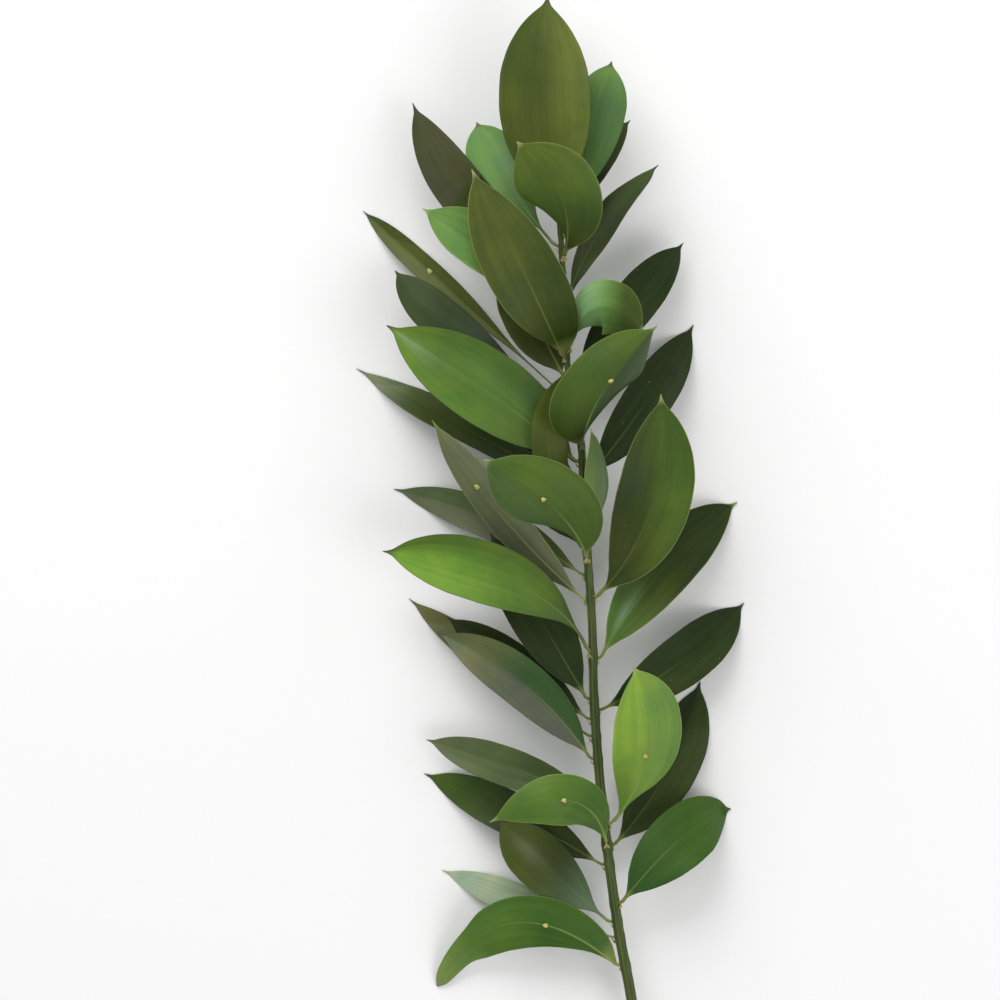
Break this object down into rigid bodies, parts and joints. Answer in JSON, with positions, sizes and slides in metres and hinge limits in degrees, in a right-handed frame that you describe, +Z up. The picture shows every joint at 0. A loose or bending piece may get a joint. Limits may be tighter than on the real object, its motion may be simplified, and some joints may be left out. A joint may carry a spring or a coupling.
{
  "type": "israeli ruscus branch",
  "caption": "Cut branch of Israeli ruscus laid down flat: a slim green stem, bare at its lower end, with leathery pointed oval leaves and small buds on some.",
  "frame": {"origin": "middle of the branch's outline on the surface that it lies on", "axes": "+Y along the branch from the cut end to its tip, +Z up from the surface towards the side that the picture shows, +X to the picture's right"},
  "size_m": [0.1774, 0.6412, 0.0743],
  "materials": {
    "leaf_bright": "satin, bright green leaf",
    "leaf_yellow": "satin, yellow-green leaf",
    "leaf_olive": "satin, olive green leaf",
    "leaf_dark": "satin, dark green leaf with a cool sheen",
    "leaf_pale": "satin, pale green leaf",
    "leaf_grey": "dull satin, greyish green underside of a leaf",
    "leaf_brown": "satin, olive-brown leaf",
    "stem": "dull satin green stem with fine ridges",
    "cut_end": "matt pale cut face of the stem",
    "flower_bud": "matt cream-yellow bud",
    "bract": "dry papery tan scale"
  },
  "bodies": {
    "root": {"leaf_01": "leaf_bright", "leaf_02": "leaf_pale", "leaf_03": "leaf_grey", "leaf_04": "leaf_bright", "leaf_05": "leaf_dark", "leaf_06": "leaf_dark", "leaf_07": "leaf_bright", "leaf_08": "leaf_yellow", "leaf_09": "leaf_pale", "leaf_10": "leaf_grey", "leaf_11": "leaf_dark", "leaf_12": "leaf_dark", "leaf_13": "leaf_dark", "leaf_14": "leaf_dark", "leaf_15": "leaf_dark", "leaf_16": "leaf_bright", "leaf_17": "leaf_grey", "leaf_18": "leaf_olive", "leaf_19": "leaf_dark", "leaf_20": "leaf_bright", "leaf_21": "leaf_dark", "leaf_22": "leaf_pale", "leaf_23": "leaf_dark", "leaf_24": "leaf_dark", "leaf_25": "leaf_olive", "leaf_26": "leaf_bright", "leaf_27": "leaf_olive", "leaf_28": "leaf_dark", "leaf_29": "leaf_brown", "leaf_30": "leaf_dark", "leaf_31": "leaf_grey", "leaf_32": "leaf_olive", "leaf_33": "leaf_pale", "leaf_34": "leaf_pale", "leaf_35": "leaf_dark", "leaf_36": "leaf_brown", "leaf_37": "leaf_brown", "leaf_38": "leaf_olive", "leaf_39": "leaf_pale", "leaf_40": "leaf_pale", "leaf_41": "leaf_dark", "leaf_42": "leaf_olive", "stem": "stem"}
  },
  "joints": []
}
